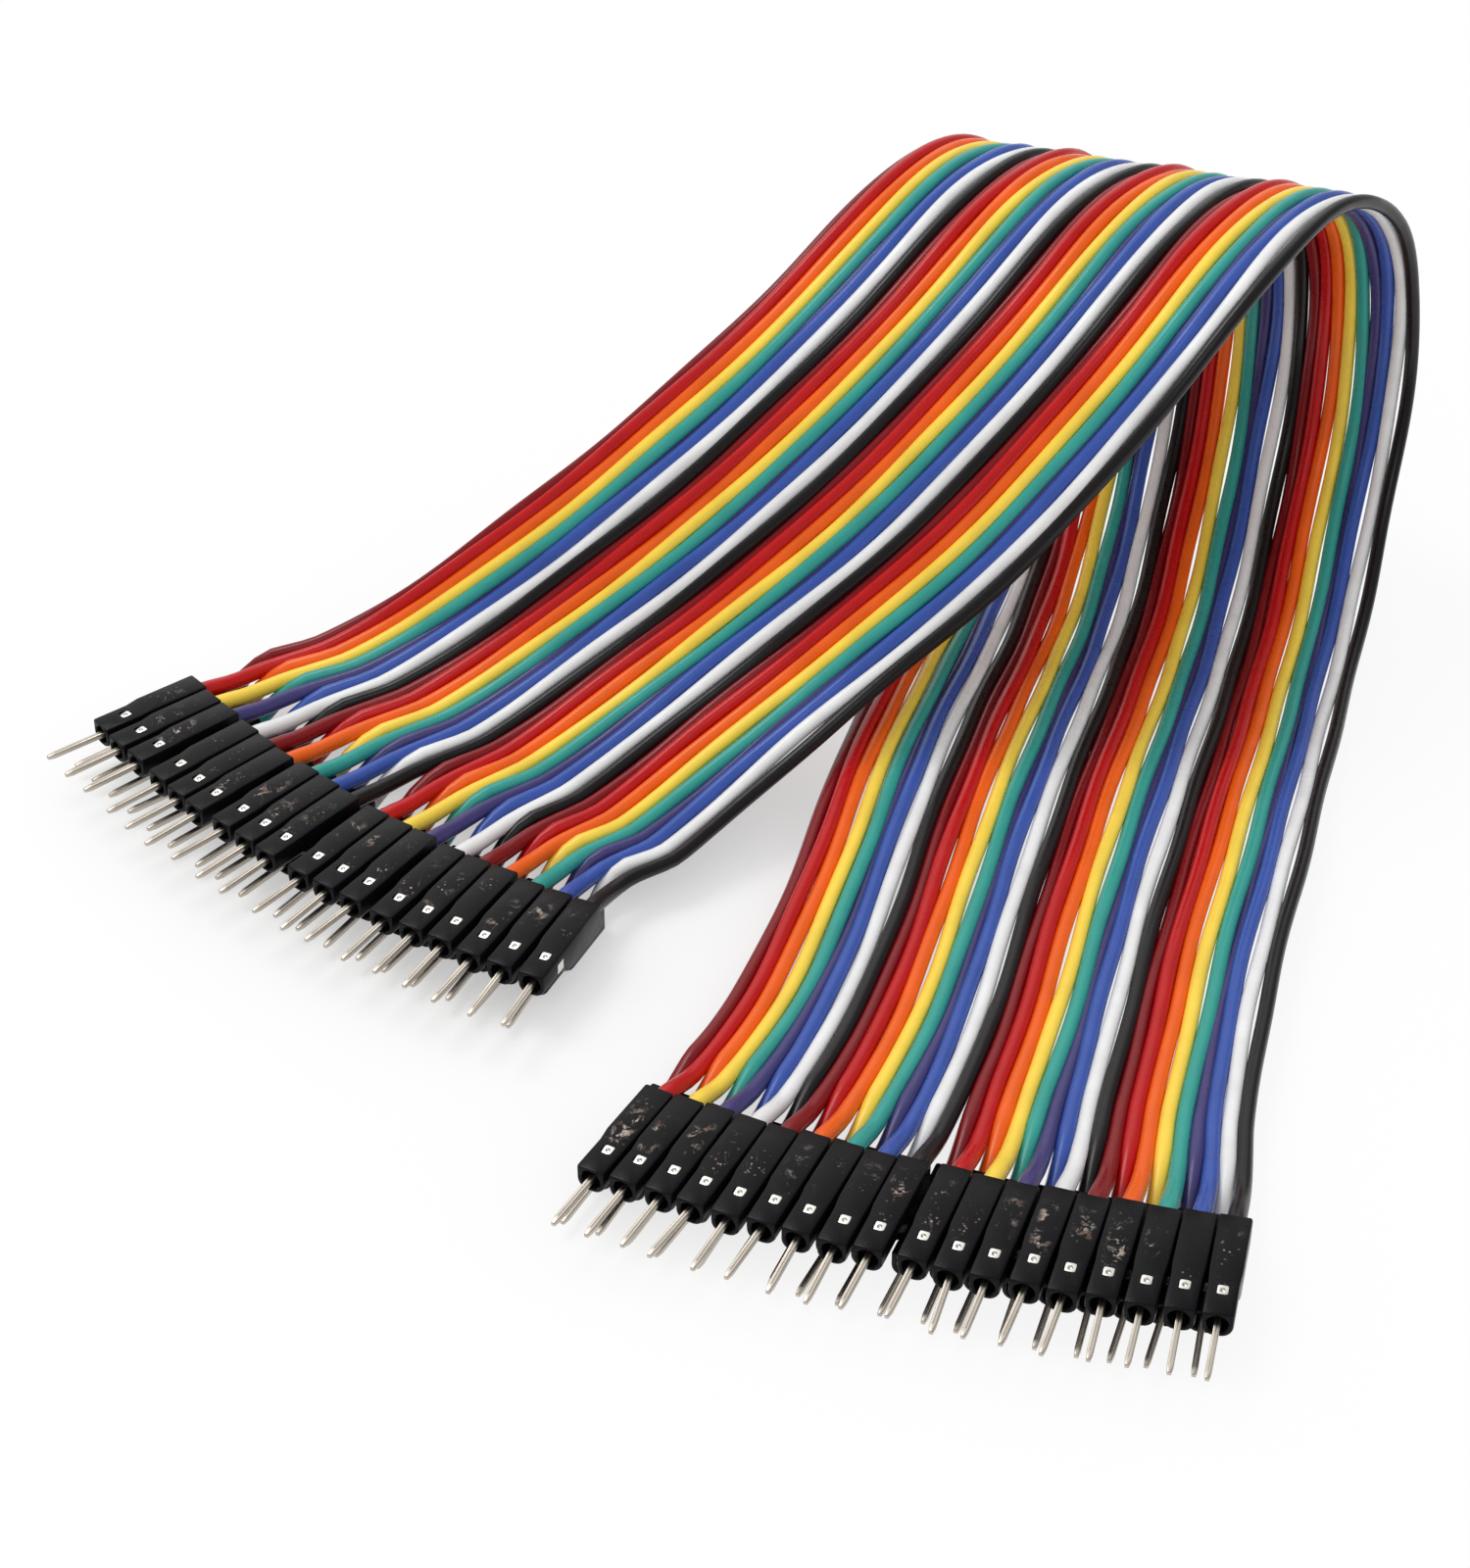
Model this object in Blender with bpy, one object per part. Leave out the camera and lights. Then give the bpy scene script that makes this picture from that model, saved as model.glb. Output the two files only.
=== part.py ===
"""Ribbon of coloured breadboard jumper wires with a pin connector on every wire end.

The ribbon leaves one row of connectors, climbs, turns back in an open loop and runs
along the table to a second row. Each row has two layers of square housings, an upper
one resting on a lower one, and every housing grips one wire and one square pin.
Lengths are in metres and +Z is up.
"""
import math

import bmesh
import bpy
import numpy as np
from mathutils import Matrix, Vector

MM = 0.001

# Housings, from the rear face where the wire enters to the nose where the pin leaves
HOUSING_LENGTH = 10.4 * MM
HOUSING_WIDTH = 2.54 * MM
HOUSING_HEIGHT = 2.54 * MM
REAR_LENGTH = 5.8 * MM
SHOULDER_LENGTH = 1.2 * MM
NOSE_WIDTH = 2.2 * MM
NOSE_TOP_STEP = 0.15 * MM
NOSE_BOTTOM_STEP = 0.2 * MM
NOSE_CHAMFER = 0.5 * MM
WINDOW_LENGTH = 0.95 * MM
WINDOW_WIDTH = 0.85 * MM
WINDOW_DEPTH = 0.35 * MM
WINDOW_FROM_NOSE = 2.6 * MM
SOCKET_DIAMETER = 1.5 * MM
SOCKET_DEPTH = 0.9 * MM
SOCKET_SIDES = 6

# Pins
PIN_THICKNESS = 0.56 * MM
PIN_REACH = 5.4 * MM
PIN_ROOT_LENGTH = 0.4 * MM
PIN_TIP_LENGTH = 1.1 * MM
PIN_TIP_THICKNESS = 0.3 * MM

# Rows: blocks of neighbouring housings pressed flank to flank at their rear ends
BLOCK_SIZE = 3
BLOCK_COUNT = 6
NEIGHBOUR_PRESS = 0.04 * MM
LAYER_GAP = 0.2 * MM
LOWER_SETBACK = 3.0 * MM
LOWER_SHIFT = -1.25 * MM

# Middle of each row's rear faces, the direction of the row there, the way the wires leave it,
# the angle between its two end housings and the gaps between its blocks
ROWS = {
    "left": {
        "middle": (-20.7 * MM, 22.5 * MM), "along": math.radians(-41.7), "wires": math.radians(53.2),
        "fan": math.radians(25), "gaps": (1.3 * MM, 1.0 * MM, 1.9 * MM, 1.1 * MM, 0.3 * MM)},
    "right": {
        "middle": (26.0 * MM, -23.3 * MM), "along": math.radians(-18.4), "wires": math.radians(68.3),
        "fan": math.radians(15), "gaps": (0.2 * MM, 0.2 * MM, 1.2 * MM, 0.3 * MM, 0.2 * MM)},
}

# Wires
WIRE_DIAMETER = 1.08 * MM
WIRE_BEVEL_RESOLUTION = 1
WIRE_END_GAP = 0.3 * MM

# One group of wires: name, colour, place across the group and height above the middle of
# the ribbon. Red rides up on its neighbours and purple slips under them.
GROUP = [
    ("maroon", (0.30, 0.015, 0.02), 0.00 * MM, -0.50 * MM),
    ("red", (0.55, 0.010, 0.015), 0.82 * MM, 0.40 * MM),
    ("orange", (0.92, 0.14, 0.01), 1.95 * MM, 0.00 * MM),
    ("yellow", (1.00, 0.55, 0.06), 3.15 * MM, 0.00 * MM),
    ("green", (0.02, 0.30, 0.24), 4.35 * MM, 0.00 * MM),
    ("purple", (0.10, 0.06, 0.20), 5.10 * MM, -1.00 * MM),
    ("blue", (0.03, 0.07, 0.38), 5.85 * MM, 0.00 * MM),
    ("white", (0.85, 0.85, 0.85), 7.05 * MM, 0.00 * MM),
    ("black", (0.02, 0.02, 0.02), 8.25 * MM, 0.00 * MM),
]
GROUP_PITCH = 9.35 * MM
GROUP_COUNT = 4
WIRE_COUNT = GROUP_COUNT * len(GROUP)
RIBBON_WIDTH = (GROUP_COUNT - 1) * GROUP_PITCH + GROUP[-1][2]

# The ribbon's two edge wires in millimetres, from the left row over the loop to the right
# row, at equal steps of length
FIRST_EDGE = [
    (-37.6, 41.5, 2.9), (-22.8, 48.5, 6.5), (-9.3, 51.2, 15.5), (3.1, 55.3, 24.6),
    (14.8, 61.8, 33.3), (24.8, 72.8, 38.9), (33.4, 85.4, 35.8), (37.4, 93.7, 22.7),
    (36.6, 89.1, 8.2), (34.2, 75.1, 2.0), (30.7, 58.9, 2.3), (25.8, 44.0, 5.0),
    (20.9, 28.8, 6.0), (16.4, 13.7, 4.3), (11.1, -1.1, 2.8), (4.2, -14.3, 2.9),
]
LAST_EDGE = [
    (-1.0, 8.5, 2.9), (9.0, 19.4, 4.3), (20.4, 29.2, 9.4), (32.6, 34.5, 18.0),
    (43.4, 38.3, 29.1), (53.5, 45.6, 39.0), (62.8, 58.0, 42.4), (71.4, 69.1, 35.7),
    (74.6, 72.1, 20.9), (72.3, 64.1, 7.8), (68.1, 50.0, 2.0), (63.7, 34.6, 2.1),
    (59.4, 19.1, 3.1), (54.9, 3.6, 3.1), (51.0, -12.0, 2.8), (47.7, -28.9, 2.9),
]
RIBBON_LENGTH = 240.5 * MM
LOOP_LEAD = 9.9 * MM
GATHER_LENGTH = 35 * MM
LEVEL_LENGTH = 25 * MM
PARTING_LENGTH = 9 * MM
CLIMB_LENGTH = 7 * MM
ROLL_START = 98 * MM
ROLL_END = 142 * MM
LOOP_START = 84 * MM
LOOP_END = 160 * MM
ROW_END = 12 * MM
ROW_END_STEP = 3 * MM
LEG_STEP = 18 * MM
LOOP_STEP = 9.5 * MM


def clear_scene():
    for obj in list(bpy.data.objects):
        bpy.data.objects.remove(obj, do_unlink=True)


def new_collection(name):
    collection = bpy.data.collections.new(name)
    bpy.context.scene.collection.children.link(collection)
    return collection


def new_material(name, colour, roughness, metallic=0.0):
    material = bpy.data.materials.new(name)
    material.use_nodes = True
    shader = material.node_tree.nodes["Principled BSDF"]
    shader.inputs["Base Color"].default_value = (*colour, 1.0)
    shader.inputs["Roughness"].default_value = roughness
    shader.inputs["Metallic"].default_value = metallic
    return material


def share_between(value, start, end):
    return min(max((value - start) / (end - start), 0.0), 1.0)


def smooth_step(share):
    share = min(max(share, 0.0), 1.0)
    return share * share * (3.0 - 2.0 * share)


def mix(start, end, share):
    return start + (end - start) * share


def smooth_curve(points_mm):
    """Natural cubic spline through points at equal steps, as a function of 0 to 1."""
    points = np.array(points_mm, dtype=float) * MM
    last = len(points) - 1
    matrix = np.eye(last + 1)
    pull = np.zeros_like(points)
    for i in range(1, last):
        matrix[i, i - 1:i + 2] = (1.0, 4.0, 1.0)
        pull[i] = 6.0 * (points[i - 1] - 2.0 * points[i] + points[i + 1])
    bend = np.linalg.solve(matrix, pull)

    def at(share):
        place = min(max(share, 0.0), 1.0) * last
        i = min(int(place), last - 1)
        after = place - i
        before = 1.0 - after
        straight = before * points[i] + after * points[i + 1]
        curved = (before ** 3 - before) * bend[i] + (after ** 3 - after) * bend[i + 1]
        return Vector(straight + curved / 6.0)

    return at


# Housings and rows

def row_offsets(gaps):
    """Distances along the row of each housing from the row's middle."""
    offsets = []
    place = 0.0
    for gap in (*gaps, 0.0):
        for _ in range(BLOCK_SIZE):
            offsets.append(place)
            place += HOUSING_WIDTH - NEIGHBOUR_PRESS
        place += NEIGHBOUR_PRESS + gap
    middle = (offsets[0] + offsets[-1]) / 2.0
    return [offset - middle for offset in offsets]


def housing_places(row_name, layer):
    """Matrix of each housing: origin under its rear face, +X towards its nose. The rear faces
    stand on an arc, so that the noses spread out like a fan."""
    row = ROWS[row_name]
    offsets = row_offsets(row["gaps"])
    span = offsets[-1] - offsets[0]
    radius = span / row["fan"]
    places = []
    for offset in offsets:
        bend = row["fan"] * offset / span
        turn = row["wires"] + bend
        along = row["along"] + bend
        rear = Vector((*row["middle"], 0.0))
        rear.x += radius * (math.sin(along) - math.sin(row["along"]))
        rear.y += radius * (math.cos(row["along"]) - math.cos(along))
        if layer == "upper":
            rear.z = HOUSING_HEIGHT + LAYER_GAP
        else:
            rear += Vector((math.cos(along), math.sin(along), 0.0)) * LOWER_SHIFT
            rear += Vector((math.cos(turn), math.sin(turn), 0.0)) * LOWER_SETBACK
        places.append(Matrix.Translation(rear) @ Matrix.Rotation(turn + math.pi, 4, "Z"))
    return places


def box_mesh(bm, low, high):
    size = [high[i] - low[i] for i in range(3)]
    middle = [(high[i] + low[i]) / 2.0 for i in range(3)]
    matrix = Matrix.Translation(middle) @ Matrix.Diagonal((*size, 1.0))
    return bmesh.ops.create_cube(bm, size=1.0, matrix=matrix)["verts"]


def new_object(name, bm, collection):
    mesh = bpy.data.meshes.new(name)
    bm.to_mesh(mesh)
    bm.free()
    obj = bpy.data.objects.new(name, mesh)
    collection.objects.link(obj)
    return obj


def hide_cutter(obj):
    obj.hide_render = True
    obj.display_type = "WIRE"


def add_boolean(obj, other, operation):
    modifier = obj.modifiers.new(f"{operation.lower()} {other.name}", "BOOLEAN")
    modifier.object = other
    modifier.operation = operation
    modifier.solver = "EXACT"
    modifier.material_mode = "TRANSFER"


def housing_body(collection):
    """Square block whose nose is narrower and lower, with chamfered lower corners."""
    bm = bmesh.new()
    half = HOUSING_WIDTH / 2.0
    box_mesh(bm, (0.0, -half, 0.0), (HOUSING_LENGTH, half, HOUSING_HEIGHT))
    nose_start = REAR_LENGTH + SHOULDER_LENGTH
    for cut in (REAR_LENGTH, nose_start):
        geometry = bm.verts[:] + bm.edges[:] + bm.faces[:]
        bmesh.ops.bisect_plane(bm, geom=geometry, plane_co=(cut, 0, 0), plane_no=(1, 0, 0), dist=1e-7)
    middle_height = HOUSING_HEIGHT / 2.0
    for vert in bm.verts:
        if vert.co.x > nose_start - 1e-6:
            vert.co.y *= NOSE_WIDTH / HOUSING_WIDTH
            vert.co.z += -NOSE_TOP_STEP if vert.co.z > middle_height else NOSE_BOTTOM_STEP
    lower_edges = [
        edge for edge in bm.edges
        if min(vert.co.x for vert in edge.verts) > nose_start - 1e-6
        and max(vert.co.z for vert in edge.verts) < middle_height
        and edge.verts[0].co.x != edge.verts[1].co.x
    ]
    bmesh.ops.bevel(bm, geom=lower_edges, offset=NOSE_CHAMFER, segments=1, affect="EDGES")
    return new_object("housing body", bm, collection)


def socket_height():
    """Height of the pin and of the round socket around it."""
    return (HOUSING_HEIGHT - NOSE_TOP_STEP + NOSE_BOTTOM_STEP) / 2.0


def pin_body(collection):
    """Square pin from inside the housing's socket to its tapered tip."""
    bm = bmesh.new()
    root = HOUSING_LENGTH - SOCKET_DEPTH - PIN_ROOT_LENGTH
    end = HOUSING_LENGTH + PIN_REACH
    half = PIN_THICKNESS / 2.0
    height = socket_height()
    box_mesh(bm, (root, -half, height - half), (end, half, height + half))
    geometry = bm.verts[:] + bm.edges[:] + bm.faces[:]
    taper_start = (end - PIN_TIP_LENGTH, 0, 0)
    bmesh.ops.bisect_plane(bm, geom=geometry, plane_co=taper_start, plane_no=(1, 0, 0), dist=1e-7)
    for vert in bm.verts:
        if vert.co.x > end - 1e-6:
            vert.co.y *= PIN_TIP_THICKNESS / PIN_THICKNESS
            vert.co.z = mix(height, vert.co.z, PIN_TIP_THICKNESS / PIN_THICKNESS)
    return new_object("pin body", bm, collection)


def socket_cutter(collection):
    bm = bmesh.new()
    depth = 2.0 * SOCKET_DEPTH
    place = Matrix.Translation((HOUSING_LENGTH, 0.0, socket_height()))
    turn = Matrix.Rotation(math.pi / 2.0, 4, "Y") @ Matrix.Rotation(math.pi / SOCKET_SIDES, 4, "Z")
    bmesh.ops.create_cone(
        bm, cap_ends=True, segments=SOCKET_SIDES, radius1=SOCKET_DIAMETER / 2.0,
        radius2=SOCKET_DIAMETER / 2.0, depth=depth, matrix=place @ turn)
    return new_object("socket cutter", bm, collection)


def window_cutter(collection):
    """Pocket in the nose's top, where the metal contact shows."""
    bm = bmesh.new()
    middle = HOUSING_LENGTH - WINDOW_FROM_NOSE
    floor = HOUSING_HEIGHT - NOSE_TOP_STEP - WINDOW_DEPTH
    low = (middle - WINDOW_LENGTH / 2.0, -WINDOW_WIDTH / 2.0, floor)
    high = (middle + WINDOW_LENGTH / 2.0, WINDOW_WIDTH / 2.0, HOUSING_HEIGHT)
    box_mesh(bm, low, high)
    return new_object("window cutter", bm, collection)


def housing_mesh(cutters, plastic, metal):
    """One housing with its pin, cut and joined, as a mesh that every housing copies."""
    body = housing_body(cutters)
    pin = pin_body(cutters)
    body.data.materials.append(plastic)
    pin.data.materials.append(metal)
    socket = socket_cutter(cutters)
    window = window_cutter(cutters)
    for cutter in (socket, window):
        cutter.data.materials.append(plastic)
        add_boolean(body, cutter, "DIFFERENCE")
    add_boolean(body, pin, "UNION")
    for guide in (body, pin, socket, window):
        hide_cutter(guide)
    depsgraph = bpy.context.evaluated_depsgraph_get()
    mesh = bpy.data.meshes.new_from_object(body.evaluated_get(depsgraph))
    mesh.name = "housing with pin"
    return mesh


def make_row(row_name, mesh, parts, cutters):
    """Blocks of housings of one row, each block pressed together into one solid."""
    for layer in ("upper", "lower"):
        places = housing_places(row_name, layer)
        for block in range(BLOCK_COUNT):
            name = f"{row_name}_{layer}_housings_{block + 1}"
            members = []
            for member in range(BLOCK_SIZE):
                first = member == 0
                label = name if first else f"{name} member {member + 1}"
                obj = bpy.data.objects.new(label, mesh.copy())
                obj.matrix_world = places[block * BLOCK_SIZE + member]
                (parts if first else cutters).objects.link(obj)
                members.append(obj)
            for other in members[1:]:
                hide_cutter(other)
                add_boolean(members[0], other, "UNION")


# Wires

def wire_exits(row_name):
    """For each wire, where it meets its housing's rear face and the way it leaves. The wires
    go to a lower and an upper housing in turn."""
    places = {layer: housing_places(row_name, layer) for layer in ("lower", "upper")}
    exits = []
    for index in range(WIRE_COUNT):
        layer = ("lower", "upper")[index % 2]
        place = places[layer][index // 2]
        back = -(place.to_3x3() @ Vector((1.0, 0.0, 0.0)))
        rear = place.translation + Vector((0.0, 0.0, socket_height()))
        start = LOWER_SETBACK if layer == "lower" else 0.0
        exits.append((rear - back * start, back, start + WIRE_END_GAP))
    return exits


def ribbon_point(distance, across, edges):
    """Point of the ribbon's middle surface. Straight lines across it run along the loop's
    axis, so the last edge is ahead of the first one where the ribbon is gathered."""
    gathered = smooth_step(min(distance, RIBBON_LENGTH - distance) / GATHER_LENGTH)
    lead = LOOP_LEAD * gathered
    first = edges[0]((distance - across * lead) / RIBBON_LENGTH)
    last = edges[1]((distance + (1.0 - across) * lead) / RIBBON_LENGTH)
    return first.lerp(last, across)


def ribbon_normal(distance, across, edges):
    """Direction that points out of the loop."""
    step = 0.5 * MM
    run = ribbon_point(distance + step, across, edges) - ribbon_point(distance - step, across, edges)
    width = ribbon_point(distance, 1.0, edges) - ribbon_point(distance, 0.0, edges)
    return width.cross(run).normalized()


def wire_point(index, distance, edges, exits):
    """The ribbon stays flat up to the rows, where every second wire dips to the lower layer
    and the others climb to the upper one."""
    near_end = min(distance, RIBBON_LENGTH - distance)
    level = smooth_step((near_end - LOWER_SETBACK) / LEVEL_LENGTH)
    roll = math.cos(math.pi * share_between(distance, ROLL_START, ROLL_END))
    group, member = divmod(index, len(GROUP))
    place, height = GROUP[member][2:]
    even = index / (WIRE_COUNT - 1)
    grouped = (group * GROUP_PITCH + place) / RIBBON_WIDTH
    across = mix(even, grouped, level * roll * roll)
    lift = height * level * roll
    point = ribbon_point(distance, across, edges) + ribbon_normal(distance, across, edges) * lift
    rear, back, inside = exits["left" if distance < RIBBON_LENGTH / 2.0 else "right"][index]
    straight = rear + back * near_end
    parted = smooth_step((near_end - LOWER_SETBACK) / PARTING_LENGTH)
    climbed = smooth_step((near_end - inside) / CLIMB_LENGTH)
    return Vector((
        mix(straight.x, point.x, parted),
        mix(straight.y, point.y, parted),
        mix(straight.z, point.z, climbed)))


def wire_distances(start, end):
    """Distances of a wire's points. All wires share them apart from the two ends, so that
    neighbours bend at the same places."""
    stretches = (
        (0.0, ROW_END, ROW_END_STEP),
        (ROW_END, LOOP_START, LEG_STEP),
        (LOOP_START, LOOP_END, LOOP_STEP),
        (LOOP_END, RIBBON_LENGTH - ROW_END, LEG_STEP),
        (RIBBON_LENGTH - ROW_END, RIBBON_LENGTH, ROW_END_STEP))
    distances = []
    for low, high, step in stretches:
        count = max(round((high - low) / step), 1)
        distances += [low + (high - low) * i / count for i in range(1, count + 1)]
    margin = ROW_END_STEP / 3
    shared = [distance for distance in distances if start + margin < distance < end - margin]
    return [start, *shared, end]


def make_wire(index, edges, exits, material, parts):
    name = f"wire_{index + 1:02d}_{GROUP[index % len(GROUP)][0]}"
    start = exits["left"][index][2]
    end = RIBBON_LENGTH - exits["right"][index][2]
    points = [wire_point(index, distance, edges, exits) for distance in wire_distances(start, end)]
    curve = bpy.data.curves.new(name, "CURVE")
    curve.dimensions = "3D"
    curve.bevel_depth = WIRE_DIAMETER / 2.0
    curve.bevel_resolution = WIRE_BEVEL_RESOLUTION
    curve.use_fill_caps = True
    spline = curve.splines.new("POLY")
    spline.points.add(len(points) - 1)
    for knot, point in zip(spline.points, points):
        knot.co = (*point, 1.0)
        knot.radius = 1.0
    spline.use_smooth = True
    curve.materials.append(material)
    parts.objects.link(bpy.data.objects.new(name, curve))


def main():
    clear_scene()
    parts = new_collection("breadboard jumper wires")
    cutters = new_collection("cutters")
    plastic = new_material("black housing plastic", (0.02, 0.02, 0.022), 0.45)
    metal = new_material("tinned pin", (0.75, 0.72, 0.68), 0.25, metallic=1.0)
    mesh = housing_mesh(cutters, plastic, metal)
    exits = {}
    for row_name in ROWS:
        make_row(row_name, mesh, parts, cutters)
        exits[row_name] = wire_exits(row_name)
    edges = (smooth_curve(FIRST_EDGE), smooth_curve(LAST_EDGE))
    sheaths = [new_material(f"{name} wire", colour, 0.35) for name, colour, _, _ in GROUP]
    for index in range(WIRE_COUNT):
        make_wire(index, edges, exits, sheaths[index % len(GROUP)], parts)


main()
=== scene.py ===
"""Ribbon of coloured breadboard jumper wires with a pin connector on every wire end.

The ribbon leaves a double row of black housings, climbs, turns back in an open loop and
runs along the table to a second double row. Lengths are in metres and +Z is up.
"""
import math
import random

import bmesh
import bpy
import numpy as np
from mathutils import Matrix, Vector


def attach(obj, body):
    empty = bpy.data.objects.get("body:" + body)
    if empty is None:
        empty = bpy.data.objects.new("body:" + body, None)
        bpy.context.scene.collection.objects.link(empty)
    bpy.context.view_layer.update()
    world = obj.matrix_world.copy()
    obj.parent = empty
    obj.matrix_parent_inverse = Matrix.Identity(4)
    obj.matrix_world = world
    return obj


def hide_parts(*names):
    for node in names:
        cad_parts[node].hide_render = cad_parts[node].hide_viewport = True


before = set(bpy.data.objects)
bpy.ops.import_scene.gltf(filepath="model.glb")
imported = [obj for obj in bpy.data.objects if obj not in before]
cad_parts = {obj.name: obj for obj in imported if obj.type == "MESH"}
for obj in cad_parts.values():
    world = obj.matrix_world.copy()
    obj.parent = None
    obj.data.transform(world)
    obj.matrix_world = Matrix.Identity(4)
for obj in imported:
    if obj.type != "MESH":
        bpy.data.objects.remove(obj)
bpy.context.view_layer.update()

bpy.context.scene.view_settings.view_transform = "Standard"

# Camera
# A long lens in front of the rows, looking down at the ribbon with the loop at the back.
MM = 0.001
aim = Vector((11.0, 31.9, 0.0)) * MM
camera_distance = 306 * MM
camera_rise = math.radians(36)
away = Vector((0.0, -math.cos(camera_rise), math.sin(camera_rise)))
bpy.ops.object.camera_add(
    location=aim + away * camera_distance, rotation=(math.pi / 2 - camera_rise, 0, 0))
camera = bpy.context.object
camera.data.lens = 79.67
camera.data.sensor_width = 36
camera.data.clip_start = 0.01
bpy.context.scene.camera = camera

# Wires
# Stranded copper in soft vinyl sheaths, pressed side by side into a flat ribbon that can be
# torn apart. Each wire is one smooth curve from the back of a left housing to that of a right
# one. At the rows every second wire goes to the lower layer, the others to the upper one.
HOUSING_LENGTH = 10.4 * MM
HOUSING_WIDTH = 2.54 * MM
HOUSING_HEIGHT = 2.54 * MM
NOSE_TOP_STEP = 0.15 * MM
NOSE_BOTTOM_STEP = 0.2 * MM
PIN_HEIGHT = (HOUSING_HEIGHT - NOSE_TOP_STEP + NOSE_BOTTOM_STEP) / 2.0
BLOCK_SIZE = 3
NEIGHBOUR_PRESS = 0.04 * MM
EVEN_SHARE = 0.5
LAYER_GAP = 0.2 * MM
LOWER_SETBACK = 3.0 * MM
LOWER_SHIFT = -1.25 * MM

# Middle of each row's rear faces, the direction of the row there, the way the wires leave it,
# the angle between its two end housings and the gaps between its blocks of three
ROWS = {
    "left": {
        "middle": (-20.7 * MM, 22.5 * MM), "along": math.radians(-41.7), "wires": math.radians(53.2),
        "fan": math.radians(25), "gaps": (1.3 * MM, 1.0 * MM, 1.9 * MM, 1.1 * MM, 0.3 * MM)},
    "right": {
        "middle": (26.0 * MM, -23.3 * MM), "along": math.radians(-18.4), "wires": math.radians(68.3),
        "fan": math.radians(15), "gaps": (0.2 * MM, 0.2 * MM, 1.2 * MM, 0.3 * MM, 0.2 * MM)},
}
WIRE_DIAMETER = 1.3 * MM
WIRE_INSIDE = 0.9 * MM
WIRE_POINTS = 200

# Towards its ends each sheath is up to a fifth thicker
WIRE_SWELL = 0.2
SWELL_LENGTH = 10 * MM

# name, colour as it looks on a screen, place across a group and height above the ribbon
GROUP = [
    ("maroon", (128, 12, 20), -0.10 * MM, -0.35 * MM),
    ("red", (190, 8, 12), 0.90 * MM, 0.30 * MM),
    ("orange", (243, 98, 16), 1.95 * MM, 0.00 * MM),
    ("yellow", (255, 218, 78), 3.15 * MM, 0.00 * MM),
    ("green", (52, 160, 148), 4.35 * MM, 0.00 * MM),
    ("purple", (66, 60, 116), 5.10 * MM, -0.50 * MM),
    ("blue", (56, 86, 170), 5.85 * MM, 0.00 * MM),
    ("white", (238, 238, 238), 7.05 * MM, 0.00 * MM),
    ("black", (24, 21, 22), 8.25 * MM, 0.00 * MM),
]
GROUP_PITCH = 9.35 * MM
GROUP_COUNT = 4
WIRE_COUNT = GROUP_COUNT * len(GROUP)
RIBBON_WIDTH = (GROUP_COUNT - 1) * GROUP_PITCH + GROUP[-1][2]

# The ribbon's two edges in millimetres, from the left row over the loop to the right row
FIRST_EDGE = [
    (-37.6, 41.5, 2.9), (-22.8, 48.5, 6.5), (-9.3, 51.2, 15.5), (3.1, 55.3, 24.6),
    (14.8, 61.8, 33.3), (24.8, 72.8, 38.9), (33.4, 85.4, 35.8), (37.4, 93.7, 22.7),
    (36.2, 89.1, 8.2), (33.0, 74.7, 2.3), (29.2, 58.3, 2.9), (25.0, 44.4, 4.4),
    (20.7, 29.7, 5.2), (16.4, 14.1, 4.0), (11.1, -1.1, 2.8), (4.2, -14.3, 2.9),
]
LAST_EDGE = [
    (-1.0, 8.5, 2.9), (9.0, 19.4, 4.3), (20.4, 29.2, 9.4), (32.6, 34.5, 18.0),
    (43.4, 38.3, 29.1), (53.5, 45.6, 39.0), (62.8, 58.0, 42.4), (71.4, 69.1, 35.7),
    (74.6, 72.1, 20.9), (72.3, 64.1, 7.8), (68.1, 50.0, 2.0), (63.7, 34.6, 2.1),
    (59.4, 19.1, 3.1), (54.9, 3.6, 3.1), (51.0, -12.0, 2.8), (47.7, -28.9, 2.9),
]
RIBBON_LENGTH = 240.5 * MM

# In the loop the last edge runs ahead of the first one. From each row on, the ribbon takes
# these lengths to get there, to group and ripple its wires, to draw them together sideways
# and to bring them to its height.
LOOP_LEAD = 9.9 * MM
GATHER_LENGTH = 35 * MM
LEVEL_LENGTH = 25 * MM
PARTING_LENGTH = 9 * MM
CLIMB_LENGTH = 5.4 * MM

# The lower wires of the left row lean towards the gaps between the upper ones
LEAN = 0.7 * MM
LEAN_RISE = 3.5 * MM
LEAN_HOLD = 7.5 * MM
LEAN_FALL = 6 * MM

# Between these the ribbon turns over. Its wires spread evenly there, and heights above it then
# count from its other side.
ROLL_START = 98 * MM
ROLL_END = 142 * MM

# Each wire snakes a hair's breadth along its way, out of step with its neighbours
WAVE_HEIGHT = 0.09 * MM
WAVE_LENGTH = 21 * MM
WAVE_UPRIGHT_SHARE = 0.73
wave_draw = random.Random(3)
WAVE_STARTS = [wave_draw.uniform(0.0, 2.0 * math.pi) for _ in range(WIRE_COUNT)]


def share_between(value, start, end):
    return min(max((value - start) / (end - start), 0.0), 1.0)


def smooth_step(share):
    share = min(max(share, 0.0), 1.0)
    return share * share * (3.0 - 2.0 * share)


def mix(start, end, share):
    return start + (end - start) * share


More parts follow.
